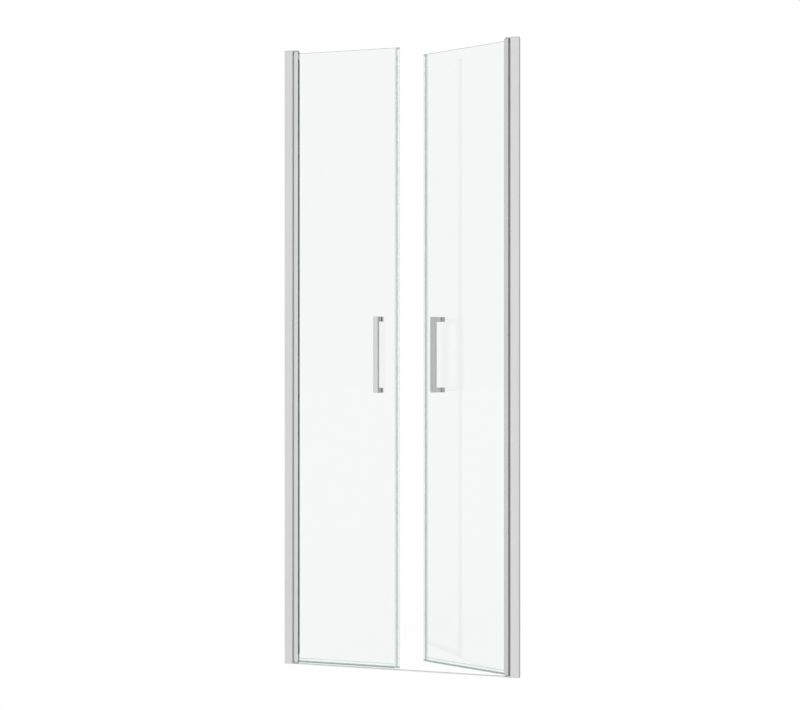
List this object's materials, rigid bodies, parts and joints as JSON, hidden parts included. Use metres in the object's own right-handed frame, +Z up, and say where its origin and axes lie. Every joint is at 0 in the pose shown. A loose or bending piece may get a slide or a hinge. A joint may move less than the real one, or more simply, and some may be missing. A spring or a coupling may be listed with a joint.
{
  "type": "double hinged shower door",
  "caption": "Hinged glass shower door for a niche: the leaves pivot both ways on aluminium profiles at the side walls, meet in the middle and have square pull handles.",
  "frame": {"origin": "on the floor, at the middle of the opening, in the middle plane of the closed glass, on the underside of the threshold strip", "axes": "+X to the right along the closed doors, seen from outside where the handles are; +Y into the shower; +Z up"},
  "size_m": [0.77, 0.1851, 1.95],
  "materials": {
    "anodised_aluminium": "satin silver anodised",
    "grey_plastic": "moulded, fine texture",
    "cast_bracket": "powder coated zinc casting",
    "bearing_plastic": "smooth bearing plastic",
    "stainless_steel": "turned",
    "cover_plastic": "glossy light grey",
    "clear_glass": "clear toughened, greenish edge",
    "grey_rubber": "smooth extruded",
    "dark_rubber": "smooth",
    "clear_seal": "clear soft extrusion",
    "magnet_white": "matt",
    "satin_chrome": "satin chrome plated"
  },
  "bodies": {
    "frame": {"threshold_strip": "anodised_aluminium", "wall_profile_left": "anodised_aluminium", "adjusting_post_left": "anodised_aluminium", "wall_profile_cap_left": "grey_plastic", "top_pivot_bracket_left": "cast_bracket", "bottom_pivot_bracket_left": "cast_bracket", "top_pivot_bush_left": "bearing_plastic", "bottom_pivot_bush_left": "bearing_plastic", "bracket_screws_left": "stainless_steel", "adjusting_screws_left": "stainless_steel", "adjusting_screw_caps_left": "cover_plastic", "wall_profile_right": "anodised_aluminium", "adjusting_post_right": "anodised_aluminium", "wall_profile_cap_right": "grey_plastic", "top_pivot_bracket_right": "cast_bracket", "bottom_pivot_bracket_right": "cast_bracket", "top_pivot_bush_right": "bearing_plastic", "bottom_pivot_bush_right": "bearing_plastic", "bracket_screws_right": "stainless_steel", "adjusting_screws_right": "stainless_steel", "adjusting_screw_caps_right": "cover_plastic"},
    "left_leaf": {"hinge_profile_left": "anodised_aluminium", "top_end_plug_left": "grey_plastic", "bottom_end_plug_left": "grey_plastic", "top_pivot_pin_left": "stainless_steel", "bottom_pivot_pin_left": "stainless_steel", "glass_panel_left": "clear_glass", "glazing_gasket_left": "grey_rubber", "free_edge_seal_left": "clear_seal", "magnet_strip_left": "magnet_white", "seal_end_caps_left": "clear_seal", "bottom_seal_left": "clear_seal", "handle_left": "satin_chrome", "handle_studs_left": "stainless_steel", "handle_gaskets_left": "dark_rubber", "handle_hole_sleeves_left": "clear_seal", "handle_inner_caps_left": "satin_chrome"},
    "right_leaf": {"hinge_profile_right": "anodised_aluminium", "top_end_plug_right": "grey_plastic", "bottom_end_plug_right": "grey_plastic", "top_pivot_pin_right": "stainless_steel", "bottom_pivot_pin_right": "stainless_steel", "glass_panel_right": "clear_glass", "glazing_gasket_right": "grey_rubber", "free_edge_seal_right": "clear_seal", "magnet_strip_right": "magnet_white", "seal_end_caps_right": "clear_seal", "bottom_seal_right": "clear_seal", "handle_right": "satin_chrome", "handle_studs_right": "stainless_steel", "handle_gaskets_right": "dark_rubber", "handle_hole_sleeves_right": "clear_seal", "handle_inner_caps_right": "satin_chrome"}
  },
  "joints": [
    {"name": "left_leaf_hinge", "type": "hinge", "parent": "frame", "child": "left_leaf", "pos_m": [-0.34661, 0, 0.975], "axis": [0, 0, 1], "range_deg": [-90, 90]},
    {"name": "right_leaf_hinge", "type": "hinge", "parent": "frame", "child": "right_leaf", "pos_m": [0.34661, 0, 0.975], "axis": [0, 0, -1], "range_deg": [-114.7, 65.3]}
  ]
}
